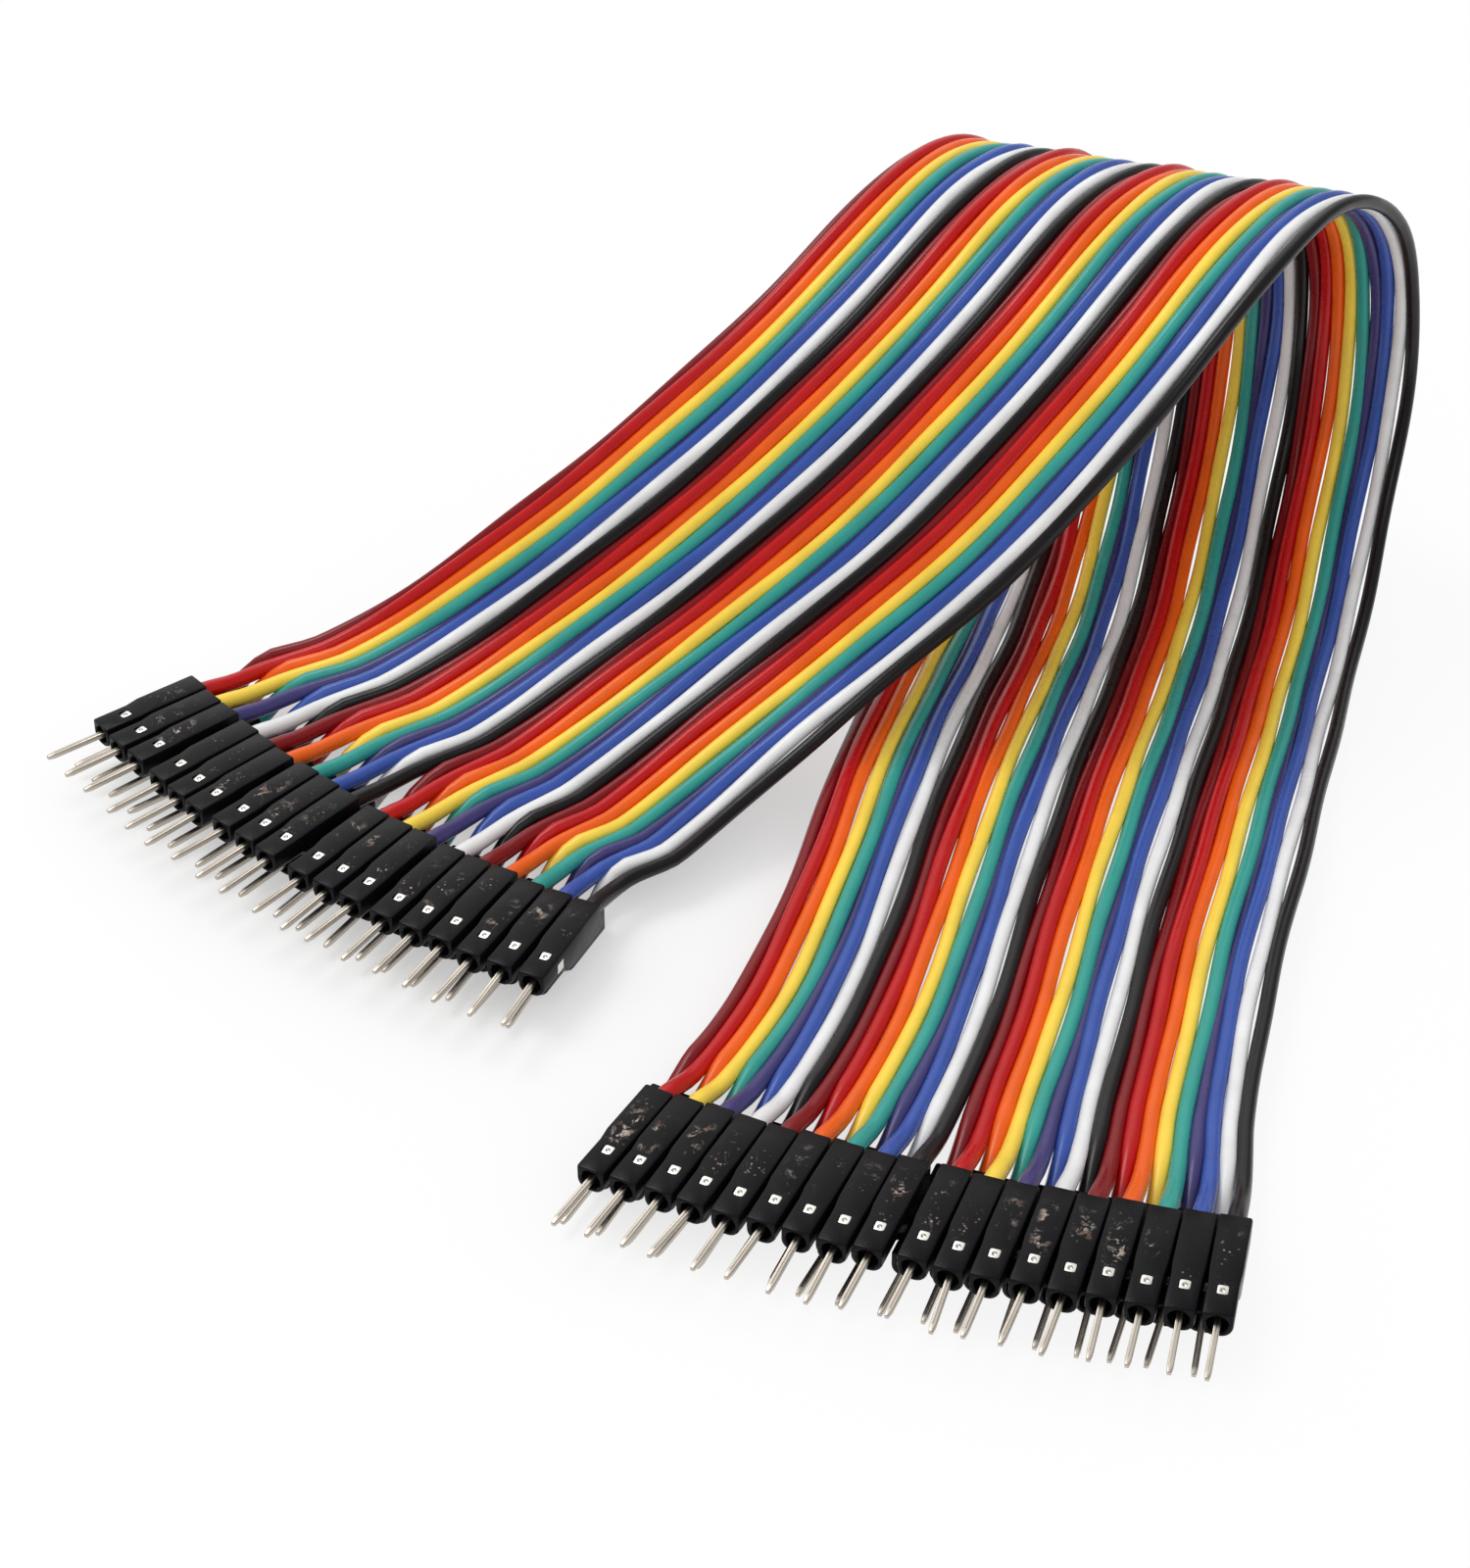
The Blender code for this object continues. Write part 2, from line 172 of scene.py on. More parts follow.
def smooth_curve(points_mm):
    """Natural cubic spline through points at equal steps, as a function of 0 to 1."""
    points = np.array(points_mm, dtype=float) * MM
    last = len(points) - 1
    matrix = np.eye(last + 1)
    pull = np.zeros_like(points)
    for i in range(1, last):
        matrix[i, i - 1:i + 2] = (1.0, 4.0, 1.0)
        pull[i] = 6.0 * (points[i - 1] - 2.0 * points[i] + points[i + 1])
    bend = np.linalg.solve(matrix, pull)

    def at(share):
        place = min(max(share, 0.0), 1.0) * last
        i = min(int(place), last - 1)
        after = place - i
        before = 1.0 - after
        straight = before * points[i] + after * points[i + 1]
        curved = (before ** 3 - before) * bend[i] + (after ** 3 - after) * bend[i + 1]
        return Vector(straight + curved / 6.0)

    return at


def row_offsets(gaps):
    """Distance of each housing from the row's middle, along the row. Its place is halfway
    between the one in a tight block of three and the one in an even spacing."""
    offsets = []
    place = 0.0
    for gap in (*gaps, 0.0):
        for _ in range(BLOCK_SIZE):
            offsets.append(place)
            place += HOUSING_WIDTH - NEIGHBOUR_PRESS
        place += NEIGHBOUR_PRESS + gap
    middle = (offsets[0] + offsets[-1]) / 2.0
    pitch = offsets[-1] / (len(offsets) - 1)
    return [mix(offset, i * pitch, EVEN_SHARE) - middle for i, offset in enumerate(offsets)]


def housing_places(row_name, layer):
    """Matrix of each housing: origin under its rear face, +X towards its nose. The rear faces
    stand on an arc, so that the noses spread out like a fan."""
    row = ROWS[row_name]
    offsets = row_offsets(row["gaps"])
    span = offsets[-1] - offsets[0]
    radius = span / row["fan"]
    places = []
    for offset in offsets:
        bend = row["fan"] * offset / span
        turn = row["wires"] + bend
        along = row["along"] + bend
        rear = Vector((*row["middle"], 0.0))
        rear.x += radius * (math.sin(along) - math.sin(row["along"]))
        rear.y += radius * (math.cos(row["along"]) - math.cos(along))
        if layer == "upper":
            rear.z = HOUSING_HEIGHT + LAYER_GAP
        else:
            rear += Vector((math.cos(along), math.sin(along), 0.0)) * LOWER_SHIFT
            rear += Vector((math.cos(turn), math.sin(turn), 0.0)) * LOWER_SETBACK
        places.append(Matrix.Translation(rear) @ Matrix.Rotation(turn + math.pi, 4, "Z"))
    return places


def wire_exits(row_name):
    """For each wire, its foot on the row's line, the way that it leaves its housing and how far
    from the foot it does. The wires go to a lower and an upper housing in turn."""
    places = {layer: housing_places(row_name, layer) for layer in ("lower", "upper")}
    exits = []
    for index in range(WIRE_COUNT):
        layer = ("lower", "upper")[index % 2]
        place = places[layer][index // 2]
        back = -(place.to_3x3() @ Vector((1.0, 0.0, 0.0)))
        rear = place.translation + Vector((0.0, 0.0, PIN_HEIGHT))
        start = LOWER_SETBACK if layer == "lower" else 0.0
        exits.append((rear - back * start, back, start))
    return exits


edges = (smooth_curve(FIRST_EDGE), smooth_curve(LAST_EDGE))
exits = {row_name: wire_exits(row_name) for row_name in ROWS}


def ribbon_point(distance, across):
    """Point of the ribbon's middle surface. Straight lines across it run along the loop's
    axis, so the last edge is ahead of the first one where the ribbon is gathered."""
    lead = LOOP_LEAD * smooth_step(min(distance, RIBBON_LENGTH - distance) / GATHER_LENGTH)
    first = edges[0]((distance - across * lead) / RIBBON_LENGTH)
    last = edges[1]((distance + (1.0 - across) * lead) / RIBBON_LENGTH)
    return first.lerp(last, across)


def wire_point(index, distance):
    near_end = min(distance, RIBBON_LENGTH - distance)
    level = smooth_step((near_end - LOWER_SETBACK) / LEVEL_LENGTH)
    roll = math.cos(math.pi * share_between(distance, ROLL_START, ROLL_END))
    group, member = divmod(index, len(GROUP))
    place, height = GROUP[member][2:]
    grouped = (group * GROUP_PITCH + place) / RIBBON_WIDTH
    across = mix(index / (WIRE_COUNT - 1), grouped, level * roll * roll)
    step = 0.5 * MM
    run = ribbon_point(distance + step, across) - ribbon_point(distance - step, across)
    width = ribbon_point(distance, 1.0) - ribbon_point(distance, 0.0)
    out = width.cross(run).normalized()
    phase = 2.0 * math.pi * distance / WAVE_LENGTH + WAVE_STARTS[index]
    wave = width.normalized() * math.sin(phase) + out * math.sin(WAVE_UPRIGHT_SHARE * phase)
    point = ribbon_point(distance, across) + out * height * level * roll + wave * WAVE_HEIGHT * level
    rear, back, inside = exits["left" if distance < RIBBON_LENGTH / 2.0 else "right"][index]
    straight = rear + back * near_end
    if distance < RIBBON_LENGTH / 2.0 and inside > 0.0:
        rising = smooth_step((near_end - inside) / LEAN_RISE)
        falling = smooth_step((near_end - LEAN_HOLD) / LEAN_FALL)
        straight -= width.normalized() * LEAN * rising * (1.0 - falling)
    parted = smooth_step((near_end - LOWER_SETBACK) / PARTING_LENGTH)
    climbed = smooth_step((near_end - inside) / CLIMB_LENGTH)
    return Vector((
        mix(straight.x, point.x, parted),
        mix(straight.y, point.y, parted),
        max(mix(straight.z, point.z, climbed), WIRE_DIAMETER / 2.0)))


def screen_colour(values):
    """Shader colour of a colour given as it looks on a screen, from 0 to 255."""
    shares = [value / 255.0 for value in values]
    return tuple(s / 12.92 if s <= 0.04045 else ((s + 0.055) / 1.055) ** 2.4 for s in shares)


def new_group(name, inputs, outputs):
    """Empty shader node group with named sockets: (name, kind, value)."""
    group = bpy.data.node_groups.new(name, "ShaderNodeTree")
    for label, kind, value in inputs:
        socket = group.interface.new_socket(label, in_out="INPUT", socket_type=f"NodeSocket{kind}")
        socket.default_value = value
    for label, kind in outputs:
        group.interface.new_socket(label, in_out="OUTPUT", socket_type=f"NodeSocket{kind}")
    start = group.nodes.new("NodeGroupInput")
    end = group.nodes.new("NodeGroupOutput")
    return group, start, end


def add_node(tree, kind, links=(), **settings):
    """Node of that kind, with its settings, whose inputs are links or plain values."""
    node = tree.nodes.new(f"ShaderNode{kind}")
    for name, value in settings.items():
        setattr(node, name, value)
    for name, value in dict(links).items():
        if isinstance(value, bpy.types.NodeSocket):
            tree.links.new(value, node.inputs[name])
        else:
            node.inputs[name].default_value = value
    return node


def new_material(name, metallic=0.0, specular=0.5):
    material = bpy.data.materials.new(name)
    material.use_nodes = True
    shader = material.node_tree.nodes["Principled BSDF"]
    shader.inputs["Metallic"].default_value = metallic
    shader.inputs["Specular IOR Level"].default_value = specular
    return material, material.node_tree, shader


def place_group(tree, group, **values):
    node = tree.nodes.new("ShaderNodeGroup")
    node.node_tree = group
    for name, value in values.items():
        node.inputs[name].default_value = value
    return node


def uneven(tree, where, scale, low, high, detail=2.0):
    """Value that drifts from low to high over the surface, in patches of about 1/scale metres."""
    noise = add_node(tree, "TexNoise", {"Vector": where, "Scale": scale, "Detail": detail})
    return add_node(tree, "MapRange", {
        "Value": noise.outputs["Fac"], "From Min": 0.3, "From Max": 0.7,
        "To Min": low, "To Max": high}).outputs["Result"]


def multiply(tree, first, second):
    return add_node(tree, "Math", {0: first, 1: second}, operation="MULTIPLY").outputs["Value"]


# Soft vinyl: the colour drifts a little, the gloss is uneven and the skin faintly rippled
vinyl, vinyl_in, vinyl_out = new_group(
    "soft vinyl",
    [("Colour", "Color", (0.5, 0.5, 0.5, 1.0)), ("Gloss", "Float", 0.3)],
    [("Colour", "Color"), ("Roughness", "Float"), ("Height", "Float")])
where = add_node(vinyl, "TexCoord").outputs["Object"]
shade = add_node(vinyl, "HueSaturation", {
    "Color": vinyl_in.outputs["Colour"], "Value": uneven(vinyl, where, 260, 0.93, 1.05)})
vinyl.links.new(shade.outputs["Color"], vinyl_out.inputs["Colour"])
gloss = multiply(vinyl, vinyl_in.outputs["Gloss"], uneven(vinyl, where, 420, 0.85, 1.2))
vinyl.links.new(gloss, vinyl_out.inputs["Roughness"])
vinyl.links.new(uneven(vinyl, where, 900, 0.0, 1.0), vinyl_out.inputs["Height"])


def vinyl_material(name, colour):
    material, tree, shader = new_material(f"{name} vinyl", specular=0.35)
    sheath = place_group(tree, vinyl, Colour=(*screen_colour(colour), 1.0), Gloss=0.28)
    bump = add_node(tree, "Bump", {
        "Height": sheath.outputs["Height"], "Distance": 0.00002, "Strength": 0.5})
    tree.links.new(sheath.outputs["Colour"], shader.inputs["Base Color"])
    tree.links.new(sheath.outputs["Roughness"], shader.inputs["Roughness"])
    tree.links.new(bump.outputs["Normal"], shader.inputs["Normal"])
    return material


sheaths = [vinyl_material(name, colour) for name, colour, _, _ in GROUP]
for index in range(WIRE_COUNT):
    colour = GROUP[index % len(GROUP)][0]
    start = exits["left"][index][2] - WIRE_INSIDE
    end = RIBBON_LENGTH - exits["right"][index][2] + WIRE_INSIDE
    route = [wire_point(index, mix(start, end, i / WIRE_POINTS)) for i in range(WIRE_POINTS + 1)]
    curve = bpy.data.curves.new(f"sheath_{index + 1:02d}_{colour}", "CURVE")
    curve.dimensions = "3D"
    curve.bevel_depth = WIRE_DIAMETER / 2.0
    curve.bevel_resolution = 4
    curve.use_fill_caps = True
    spline = curve.splines.new("POLY")
    spline.points.add(len(route) - 1)
    for i, (knot, point) in enumerate(zip(spline.points, route)):
        knot.co = (*point, 1.0)
        distance = mix(start, end, i / WIRE_POINTS)
        near_end = min(distance - start, end - distance)
        knot.radius = 1.0 + WIRE_SWELL * (1.0 - smooth_step(near_end / SWELL_LENGTH))
    spline.use_smooth = True
    curve.materials.append(sheaths[index % len(GROUP)])
    wire = bpy.data.objects.new(curve.name, curve)
    bpy.context.collection.objects.link(wire)
    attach(wire, "root")
    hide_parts(f"wire_{index + 1:02d}_{colour}")

# Housings
# Injection-moulded black plastic, one for each wire end, pushed side by side in two layers.
# Behind a shoulder the body is square. The nose is narrower and lower with a round belly, has
# a round mouth for the pin in front, and a window above the contact that locks in it.
BODY_WIDTH = 2.5 * MM
REAR_LENGTH = 5.8 * MM
SHOULDER_LENGTH = 1.2 * MM
NOSE_WIDTH = 2.34 * MM
BELLY_RADIUS = 0.95 * MM
EDGE_RADIUS = 0.2 * MM
MOUTH_DIAMETER = 1.6 * MM
MOUTH_DEPTH = 2.0 * MM
MOUTH_LIP = 0.12 * MM
WINDOW_LENGTH = 1.05 * MM
WINDOW_WIDTH = 0.95 * MM
WINDOW_DEPTH = 0.7 * MM
WINDOW_FROM_NOSE = 2.6 * MM
WINDOW_ROUNDING = 0.26 * MM
REAR_HOLE = 1.55 * MM
REAR_HOLE_DEPTH = 2.5 * MM
CUT_CLEAR = 1 * MM


def pick(obj, kind, test):
    """In edit mode, select only the vertices, edges or faces that pass the test."""
    bpy.ops.mesh.select_all(action="DESELECT")
    mesh = bmesh.from_edit_mesh(obj.data)
    for item in getattr(mesh, kind):
        if test(item):
            item.select_set(True)
    bmesh.update_edit_mesh(obj.data)


def add_box(low, high):
    """Cube primitive between two corners, with its place in its mesh."""
    middle = [(a + b) / 2.0 for a, b in zip(low, high)]
    size = [b - a for a, b in zip(low, high)]
    bpy.ops.mesh.primitive_cube_add(size=1, location=middle, scale=size)
    bpy.ops.object.transform_apply()
    return bpy.context.object


def cut_with(obj, cutter):
    """Take the cutter's shape out of the piece, and delete the cutter."""
    modifier = obj.modifiers.new("cut", "BOOLEAN")
    modifier.object = cutter
    modifier.solver = "EXACT"
    bpy.context.view_layer.objects.active = obj
    bpy.ops.object.modifier_apply(modifier=modifier.name)
    bpy.data.objects.remove(cutter, do_unlink=True)


def round_edges(obj, width, segments, angle):
    modifier = obj.modifiers.new("round", "BEVEL")
    modifier.width = width
    modifier.segments = segments
    modifier.limit_method = "ANGLE"
    modifier.angle_limit = angle
    bpy.context.view_layer.objects.active = obj
    bpy.ops.object.modifier_apply(modifier=modifier.name)


bpy.ops.object.select_all(action="DESELECT")
half = BODY_WIDTH / 2.0
nose_start = REAR_LENGTH + SHOULDER_LENGTH
housing = add_box((0.0, -half, 0.0), (HOUSING_LENGTH, half, HOUSING_HEIGHT))
bpy.ops.object.mode_set(mode="EDIT")
for cut in (REAR_LENGTH, nose_start):
    bpy.ops.mesh.select_all(action="SELECT")
    bpy.ops.mesh.bisect(plane_co=(cut, 0, 0), plane_no=(1, 0, 0))
bpy.ops.mesh.select_mode(type="VERT")
TOUCH = 0.001 * MM
pick(housing, "verts", lambda v: v.co.x > nose_start - TOUCH)
bpy.ops.transform.resize(value=(1.0, NOSE_WIDTH / BODY_WIDTH, 1.0))
pick(housing, "verts", lambda v: v.co.x > nose_start - TOUCH and v.co.z > HOUSING_HEIGHT / 2)
bpy.ops.transform.translate(value=(0.0, 0.0, -NOSE_TOP_STEP))
pick(housing, "verts", lambda v: v.co.x > nose_start - TOUCH and v.co.z < HOUSING_HEIGHT / 2)
bpy.ops.transform.translate(value=(0.0, 0.0, NOSE_BOTTOM_STEP))
bpy.ops.mesh.select_mode(type="EDGE")
pick(housing, "edges", lambda e: (
    min(v.co.x for v in e.verts) > nose_start - TOUCH
    and max(v.co.z for v in e.verts) < HOUSING_HEIGHT / 2
    and abs(e.verts[0].co.x - e.verts[1].co.x) > TOUCH))
bpy.ops.mesh.bevel(offset=BELLY_RADIUS, segments=5, affect="EDGES")
bpy.ops.object.mode_set(mode="OBJECT")
round_edges(housing, EDGE_RADIUS, 2, math.radians(30))

bpy.ops.mesh.primitive_cylinder_add(
    vertices=24, radius=MOUTH_DIAMETER / 2, depth=2 * MOUTH_DEPTH,
    location=(HOUSING_LENGTH, 0, PIN_HEIGHT), rotation=(0, math.pi / 2, 0))
cut_with(housing, bpy.context.object)
bpy.ops.mesh.primitive_cone_add(
    vertices=24, radius1=MOUTH_DIAMETER / 2, radius2=MOUTH_DIAMETER / 2 + 2 * MOUTH_LIP,
    depth=2 * MOUTH_LIP, location=(HOUSING_LENGTH, 0, PIN_HEIGHT), rotation=(0, math.pi / 2, 0))
cut_with(housing, bpy.context.object)
window_middle = HOUSING_LENGTH - WINDOW_FROM_NOSE
nose_top = HOUSING_HEIGHT - NOSE_TOP_STEP
window = add_box(
    (window_middle - WINDOW_LENGTH / 2, -WINDOW_WIDTH / 2, nose_top - WINDOW_DEPTH),
    (window_middle + WINDOW_LENGTH / 2, WINDOW_WIDTH / 2, HOUSING_HEIGHT))
round_edges(window, WINDOW_ROUNDING, 3, math.radians(30))
cut_with(housing, window)
hole = add_box(
    (-CUT_CLEAR, -REAR_HOLE / 2, PIN_HEIGHT - REAR_HOLE / 2),
    (REAR_HOLE_DEPTH, REAR_HOLE / 2, PIN_HEIGHT + REAR_HOLE / 2))
cut_with(housing, hole)
bpy.ops.object.select_all(action="DESELECT")
housing.select_set(True)
bpy.context.view_layer.objects.active = housing
bpy.ops.object.shade_smooth_by_angle(angle=math.radians(35))

# The UV map measures along and across a housing, so that wear and painted glints find their place on
# each of them
measures = housing.data.uv_layers[0].data
for loop in housing.data.loops:
    point = housing.data.vertices[loop.vertex_index].co
    measures[loop.index].uv = (point.x / HOUSING_LENGTH, 0.5 + point.y / HOUSING_WIDTH)

# Black moulded plastic: glossy and finely grained, with scratches, and with flecks and smears on the
# top between shoulder and window, partly dust where fingers and tools touch it, partly painted glints
plastic, plastic_in, plastic_out = new_group(
    "moulded plastic",
    [("Colour", "Color", (0.02, 0.02, 0.02, 1.0)), ("Wear", "Float", 1.0)],
    [("Colour", "Color"), ("Roughness", "Float"), ("Height", "Float")])
coordinates = add_node(plastic, "TexCoord")
where = coordinates.outputs["Object"]
ruler = add_node(plastic, "SeparateXYZ", {"Vector": coordinates.outputs["UV"]})
facing = add_node(plastic, "SeparateXYZ", {
    "Vector": add_node(plastic, "NewGeometry").outputs["Normal"]})


def soft_band(tree, value, start, full, end, gone):
    """1 between full and end, falling to 0 at start and gone."""
    rise = add_node(tree, "MapRange", {"Value": value, "From Min": start, "From Max": full})
    fall = add_node(tree, "MapRange", {
        "Value": value, "From Min": end, "From Max": gone, "To Min": 1.0, "To Max": 0.0})
    return multiply(tree, rise.outputs["Result"], fall.outputs["Result"])


handled = soft_band(plastic, ruler.outputs["X"], 0.12, 0.42, 0.60, 0.74)
off_edges = soft_band(plastic, ruler.outputs["Y"], 0.12, 0.35, 0.65, 0.88)
upward = add_node(plastic, "MapRange", {
    "Value": facing.outputs["Z"], "From Min": 0.6, "From Max": 0.9}).outputs["Result"]
patch = multiply(plastic, multiply(plastic, handled, off_edges), upward)
patch = multiply(plastic, patch, plastic_in.outputs["Wear"])
cluster = uneven(plastic, where, 330, -1.2, 1.0, 1.0)
flecks = add_node(plastic, "TexVoronoi", {"Vector": where, "Scale": 2300.0, "Randomness": 1.0})
spots = add_node(plastic, "MapRange", {
    "Value": flecks.outputs["Distance"], "From Min": 0.16, "From Max": 0.26,
    "To Min": 1.0, "To Max": 0.0})
smear_noise = add_node(plastic, "TexNoise", {
    "Vector": where, "Scale": 900.0, "Detail": 6.0, "Roughness": 0.75, "Distortion": 0.5})
smears = add_node(plastic, "MapRange", {
    "Value": smear_noise.outputs["Fac"], "From Min": 0.54, "From Max": 0.60})
rare = uneven(plastic, where, 190, -1.2, 1.5, 1.0)
marks = add_node(plastic, "Math", {
    0: multiply(plastic, spots.outputs["Result"], cluster),
    1: multiply(plastic, smears.outputs["Result"], rare)}, operation="MAXIMUM", use_clamp=True)
fleck_mask = multiply(plastic, marks.outputs["Value"], patch)
scratch_map = add_node(plastic, "Mapping", {
    "Vector": where, "Rotation": (0.0, 0.0, 0.5), "Scale": (1.0, 0.12, 1.0)})
scratches = add_node(plastic, "TexNoise", {
    "Vector": scratch_map.outputs["Vector"], "Scale": 3400.0, "Detail": 3.0, "Distortion": 0.8})
lines = add_node(plastic, "MapRange", {
    "Value": scratches.outputs["Fac"], "From Min": 0.64, "From Max": 0.70})
scratch_mask = multiply(plastic, multiply(plastic, lines.outputs["Result"], cluster), patch)
# Pale grey to dark amber flecks and smears: partly dust, partly painted glints
dust_and_glint_colour = add_node(plastic, "MixRGB", {
    "Fac": uneven(plastic, where, 1500, 0.0, 1.0),
    "Color1": (0.75, 0.70, 0.64, 1.0), "Color2": (0.20, 0.07, 0.02, 1.0)})
worn = add_node(plastic, "MixRGB", {
    "Fac": multiply(plastic, scratch_mask, 0.45),
    "Color1": plastic_in.outputs["Colour"], "Color2": (0.16, 0.16, 0.17, 1.0)})
speckled = add_node(plastic, "MixRGB", {
    "Fac": fleck_mask, "Color1": worn.outputs["Color"], "Color2": dust_and_glint_colour.outputs["Color"]})
plastic.links.new(speckled.outputs["Color"], plastic_out.inputs["Colour"])
sheen = add_node(plastic, "Math", {
    0: uneven(plastic, where, 350, 0.22, 0.34), 1: multiply(plastic, patch, 0.1)}, operation="ADD")
plastic.links.new(sheen.outputs["Value"], plastic_out.inputs["Roughness"])
grain = uneven(plastic, where, 5000, 0.0, 0.4)
relief = add_node(plastic, "Math", {
    0: grain, 1: multiply(plastic, scratch_mask, 2.0)}, operation="ADD")
plastic.links.new(relief.outputs["Value"], plastic_out.inputs["Height"])

black_plastic, tree, shader = new_material("black plastic", specular=0.13)
shell = place_group(tree, plastic, Colour=(0.004, 0.004, 0.0052, 1.0), Wear=1.0)
bump = add_node(tree, "Bump", {
    "Height": shell.outputs["Height"], "Distance": 0.00002, "Strength": 0.6})
tree.links.new(shell.outputs["Colour"], shader.inputs["Base Color"])
tree.links.new(shell.outputs["Roughness"], shader.inputs["Roughness"])
tree.links.new(bump.outputs["Normal"], shader.inputs["Normal"])
housing.data.materials.clear()
housing.data.materials.append(black_plastic)

# Terminals
# Stamped and folded tinned metal. A square pin with rounded edges and a folded seam runs out
# of the housing's mouth to a narrower tip. The box at its root shows in the window, where its
# plate slopes towards the nose and has a small dimple.
PIN_THICKNESS = 0.48 * MM
PIN_REACH = 5.4 * MM
PIN_TIP_LENGTH = 0.7 * MM
PIN_TIP_THICKNESS = 0.32 * MM
BOX_LENGTH = 1.6 * MM
BOX_WIDTH = 1.1 * MM
PLATE_DEPTH = 0.03 * MM
PLATE_DROP = 0.17 * MM
SEAM_WIDTH = 0.05 * MM
SEAM_DEPTH = 0.12 * MM
SEAM_FROM_TIP = 1.1 * PIN_TIP_LENGTH
DIMPLE_RADIUS = 0.28 * MM
DIMPLE_DEPTH = 0.1 * MM
PLATE_GAP = 0.03 * MM
METAL_ROUNDING = 0.14 * MM

pin_end = HOUSING_LENGTH + PIN_REACH
box_front = window_middle + BOX_LENGTH / 2
terminal = add_box(
    (window_middle - BOX_LENGTH / 2, -BOX_WIDTH / 2, PIN_HEIGHT - BOX_WIDTH / 2),
    (box_front, BOX_WIDTH / 2, PIN_HEIGHT + BOX_WIDTH / 2))
bpy.ops.object.mode_set(mode="EDIT")
bpy.ops.mesh.select_mode(type="FACE")
pick(terminal, "faces", lambda f: f.normal.x > 0.9)
bpy.ops.mesh.inset(thickness=(BOX_WIDTH - PIN_THICKNESS) / 2)
for reach in (pin_end - PIN_TIP_LENGTH - box_front, PIN_TIP_LENGTH):
    bpy.ops.mesh.extrude_region_move(TRANSFORM_OT_translate={"value": (reach, 0, 0)})
taper = PIN_TIP_THICKNESS / PIN_THICKNESS
bpy.ops.transform.resize(value=(1.0, taper, taper), center_override=(pin_end, 0, PIN_HEIGHT))
pick(terminal, "faces", lambda f: f.normal.z > 0.9 and f.calc_center_median().x < box_front)
bpy.ops.mesh.inset(thickness=(BOX_WIDTH - WINDOW_WIDTH) / 2 + PLATE_GAP)
rise = nose_top - PLATE_DEPTH - (PIN_HEIGHT + BOX_WIDTH / 2)
bpy.ops.mesh.extrude_region_move(TRANSFORM_OT_translate={"value": (0, 0, rise)})
plate_length = BOX_LENGTH - (BOX_WIDTH - WINDOW_WIDTH) - 2 * PLATE_GAP
fit = (WINDOW_LENGTH - 2 * PLATE_GAP) / plate_length
pick(terminal, "verts", lambda v: (
    v.co.z > nose_top - PLATE_DEPTH - TOUCH and v.co.x < box_front))
bpy.ops.transform.resize(value=(fit, 1.0, 1.0), center_override=(window_middle, 0, 0))
pick(terminal, "verts", lambda v: (
    v.co.z > nose_top - PLATE_DEPTH - TOUCH and window_middle < v.co.x < box_front))
bpy.ops.transform.translate(value=(0, 0, -PLATE_DROP))
bpy.ops.object.mode_set(mode="OBJECT")
round_edges(terminal, METAL_ROUNDING, 3, math.radians(25))
seam = add_box(
    (box_front, -SEAM_WIDTH / 2, PIN_HEIGHT + PIN_THICKNESS / 2 - SEAM_DEPTH),
    (pin_end - SEAM_FROM_TIP, SEAM_WIDTH / 2, HOUSING_HEIGHT))
cut_with(terminal, seam)
dimple_middle = nose_top - PLATE_DEPTH - PLATE_DROP / 2 + DIMPLE_RADIUS - DIMPLE_DEPTH
bpy.ops.mesh.primitive_uv_sphere_add(
    segments=16, ring_count=8, radius=DIMPLE_RADIUS, location=(window_middle, 0, dimple_middle))
cut_with(terminal, bpy.context.object)
bpy.ops.object.select_all(action="DESELECT")
terminal.select_set(True)
bpy.context.view_layer.objects.active = terminal
bpy.ops.object.shade_smooth_by_angle(angle=math.radians(35))

# Tinned metal: bright, a little dull in patches, with faint drawing marks. The pins take a dark,
# warm copy of it, painted shade, and the contacts in the windows a bright copy, painted reflection.
tin, tin_in, tin_out = new_group(
    "tinned metal", [("Colour", "Color", (0.8, 0.8, 0.8, 1.0))],
    [("Colour", "Color"), ("Roughness", "Float"), ("Height", "Float")])
where = add_node(tin, "TexCoord").outputs["Object"]
dull = add_node(tin, "HueSaturation", {
    "Color": tin_in.outputs["Colour"], "Value": uneven(tin, where, 500, 0.92, 1.03)})
tin.links.new(dull.outputs["Color"], tin_out.inputs["Colour"])
tin.links.new(uneven(tin, where, 700, 0.29, 0.37), tin_out.inputs["Roughness"])
tin.links.new(uneven(tin, where, 1500, 0.0, 1.0), tin_out.inputs["Height"])


def metal_material(name, colour):
    material, tree, shader = new_material(name, metallic=1.0)
    plating = place_group(tree, tin, Colour=colour)
    bump = add_node(tree, "Bump", {
        "Height": plating.outputs["Height"], "Distance": 0.000005, "Strength": 0.05})
    tree.links.new(plating.outputs["Colour"], shader.inputs["Base Color"])
    tree.links.new(plating.outputs["Roughness"], shader.inputs["Roughness"])
    tree.links.new(bump.outputs["Normal"], shader.inputs["Normal"])
    return material


# The darker, warmer tin on the pins is painted shade; the brighter tin on the contacts is a painted
# reflection
tinned = metal_material("tinned pins", (0.58, 0.525, 0.455, 1.0))
painted_bright = metal_material("polished contacts", (0.82, 0.79, 0.74, 1.0))
terminal.data.materials.clear()
terminal.data.materials.append(tinned)
terminal.data.materials.append(painted_bright)
for face in terminal.data.polygons:
    face.material_index = 1 if face.center.x < box_front else 0

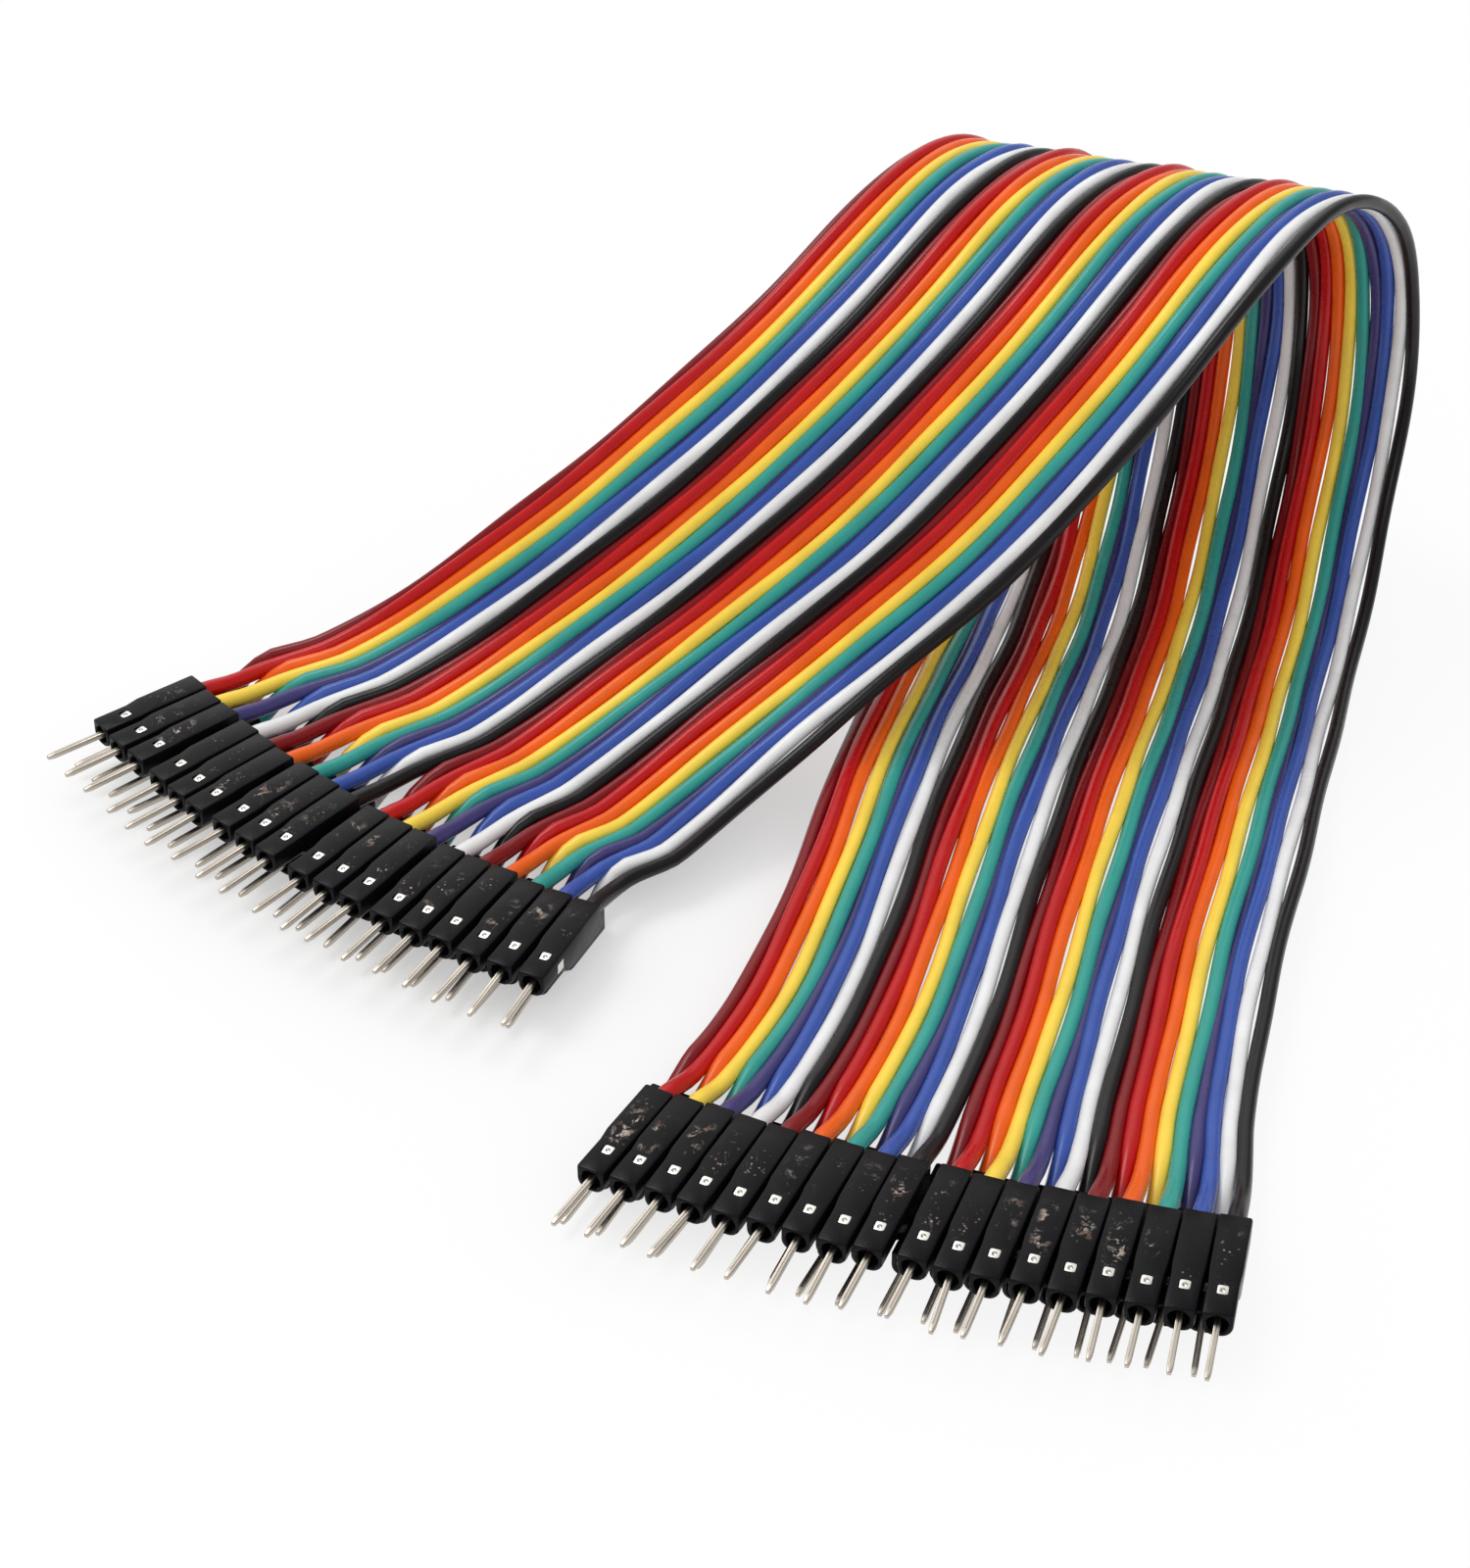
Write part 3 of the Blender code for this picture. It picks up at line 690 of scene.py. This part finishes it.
# Rows
# Every housing goes to its place in its row and layer, with its terminal in it. The rows are
# pushed together by hand, so each connector sits and points a little differently.
SLIDE = 0.15 * MM
TURN_DEGREES = 0.6
PIN_ASIDE_DEGREES = 1.6
PIN_LIFT_DEGREES = 0.9
hand = random.Random(7)
for row_name in ROWS:
    for layer in ("upper", "lower"):
        for number, place in enumerate(housing_places(row_name, layer)):
            slide = Matrix.Translation((hand.uniform(-SLIDE, SLIDE), 0.0, 0.0))
            turn = Matrix.Rotation(math.radians(hand.uniform(-TURN_DEGREES, TURN_DEGREES)), 4, "Z")
            aside = math.tan(math.radians(hand.gauss(0, PIN_ASIDE_DEGREES)))
            lift = math.tan(math.radians(hand.gauss(0, PIN_LIFT_DEGREES)))
            node = f"{row_name}_{layer}_housings_{number // BLOCK_SIZE + 1}"
            for model, kind, slot in (
                    (housing, "housing", "housing_plastic"), (terminal, "terminal", "pin_metal")):
                mesh = model.data.copy()
                if kind == "terminal":
                    for vertex in mesh.vertices:
                        outside = max(vertex.co.x - HOUSING_LENGTH + MOUTH_DEPTH / 2, 0.0)
                        vertex.co += Vector((0.0, aside, lift)) * outside
                mesh.transform(place @ turn @ slide)
                piece = bpy.data.objects.new(f"{kind}_{row_name}_{layer}_{number + 1:02d}", mesh)
                bpy.context.collection.objects.link(piece)
                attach(piece, "root")
                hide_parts(node)

# The end housing of the left row shows a second contact on its bare flank, a rounded plate
# that stands a hair proud of the plastic
FLANK_CONTACT_BACK = -0.95 * MM
FLANK_CONTACT_FRONT = 0.05 * MM
FLANK_CONTACT_LOW = -0.4 * MM
FLANK_CONTACT_HIGH = 0.55 * MM
FLANK_CONTACT_PROUD = 0.06 * MM
FLANK_CONTACT_SUNK = 0.2 * MM
FLANK_CONTACT_ROUNDING = 0.08 * MM
flank = NOSE_WIDTH / 2.0
contact = add_box(
    (window_middle + FLANK_CONTACT_BACK, flank - FLANK_CONTACT_SUNK, PIN_HEIGHT + FLANK_CONTACT_LOW),
    (window_middle + FLANK_CONTACT_FRONT, flank + FLANK_CONTACT_PROUD, PIN_HEIGHT + FLANK_CONTACT_HIGH))
contact.name = "flank_contact_left"
round_edges(contact, FLANK_CONTACT_ROUNDING, 3, math.radians(30))
contact.data.transform(housing_places("left", "upper")[-1])
# The flank contact takes the brighter tin too, a painted reflection
contact.data.materials.append(painted_bright)
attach(contact, "root")
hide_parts("left_upper_housings_6")
for model in (housing, terminal):
    bpy.data.objects.remove(model, do_unlink=True)

# Table and light
# A wide white paper sheet that runs out of sight. It is lit by a big soft lamp from behind on
# the left, and by the pale room. To the eye and in gloss it is nearly as white as the room,
# and a little less so round the left row, where a shadow of the ribbon is painted on it.
SHADE_MIDDLE = Vector((-12, 22, 0)) * MM
SHADE_FULL = 18 * MM
SHADE_END = 65 * MM
WHITENESS_IN_SHADE = 0.45
WHITENESS_OUTSIDE = 0.88
bpy.ops.mesh.primitive_plane_add(size=6)
floor = bpy.context.object
floor.name = "white_sheet"
sheet, tree, shader = new_material("white sheet", specular=0.2)
shader.inputs["Base Color"].default_value = (0.97, 0.97, 0.97, 1.0)
shader.inputs["Roughness"].default_value = 0.9
path = add_node(tree, "LightPath")
# Less of the sheet's white glow shows round the left row: a painted shadow of the ribbon
from_row = add_node(tree, "VectorMath", {
    0: add_node(tree, "TexCoord").outputs["Object"], 1: SHADE_MIDDLE}, operation="DISTANCE")
whiteness = add_node(tree, "MapRange", {
    "Value": from_row.outputs["Value"], "From Min": SHADE_FULL, "From Max": SHADE_END,
    "To Min": WHITENESS_IN_SHADE, "To Max": WHITENESS_OUTSIDE}, interpolation_type="SMOOTHSTEP")
shown = add_node(tree, "Math", {
    0: path.outputs["Is Camera Ray"], 1: path.outputs["Is Glossy Ray"]}, operation="MAXIMUM")
seen = multiply(tree, shown.outputs["Value"], whiteness.outputs["Result"])
glow = add_node(tree, "Emission", {"Color": (1.0, 1.0, 1.0, 1.0), "Strength": 1.0})
blend = add_node(tree, "MixShader", {
    "Fac": seen, 1: shader.outputs["BSDF"], 2: glow.outputs["Emission"]})
tree.links.new(blend.outputs["Shader"], tree.nodes["Material Output"].inputs["Surface"])
floor.data.materials.append(sheet)

lamp_place = Vector((-0.35, 0.35, 0.85))
bpy.ops.object.light_add(type="AREA", location=lamp_place)
lamp = bpy.context.object
lamp.data.shape = "DISK"
lamp.data.size = 0.45
lamp.data.energy = 2.4
lamp.rotation_euler = (aim - lamp_place).to_track_quat("-Z", "Y").to_euler()

# The room is pale to the eye and as light. Gloss shows a big soft screen behind the loop and a
# narrower one high in front.
ROOM_LIGHT = 0.84
TOWARD_SCREEN = (-0.12, 0.78, 0.62)
TOWARD_STRIP = (0.05, -0.5, 0.86)
world = bpy.data.worlds.new("pale room")
bpy.context.scene.world = world
world.use_nodes = True
room = world.node_tree
path = add_node(room, "LightPath")
toward = add_node(room, "TexCoord").outputs["Generated"]
behind = add_node(room, "VectorMath", {0: toward, 1: TOWARD_SCREEN}, operation="DOT_PRODUCT")
screen = add_node(room, "MapRange", {
    "Value": behind.outputs["Value"], "From Min": 0.72, "From Max": 0.95,
    "To Min": 0.28, "To Max": 1.15})
in_front = add_node(room, "VectorMath", {0: toward, 1: TOWARD_STRIP}, operation="DOT_PRODUCT")
strip = add_node(room, "MapRange", {
    "Value": in_front.outputs["Value"], "From Min": 0.93, "From Max": 0.98,
    "To Min": 0.0, "To Max": 1.5})
both = add_node(room, "Math", {
    0: screen.outputs["Result"], 1: strip.outputs["Result"]}, operation="MAXIMUM")
light_level = add_node(room, "Mix", {
    "Factor": path.outputs["Is Glossy Ray"],
    "A": ROOM_LIGHT, "B": both.outputs["Value"]}, data_type="FLOAT")
seen_level = add_node(room, "Mix", {
    "Factor": path.outputs["Is Camera Ray"],
    "A": light_level.outputs["Result"], "B": 1.0}, data_type="FLOAT")
backdrop = room.nodes["Background"]
backdrop.inputs["Color"].default_value = (1.0, 1.0, 1.0, 1.0)
room.links.new(seen_level.outputs["Result"], backdrop.inputs["Strength"])
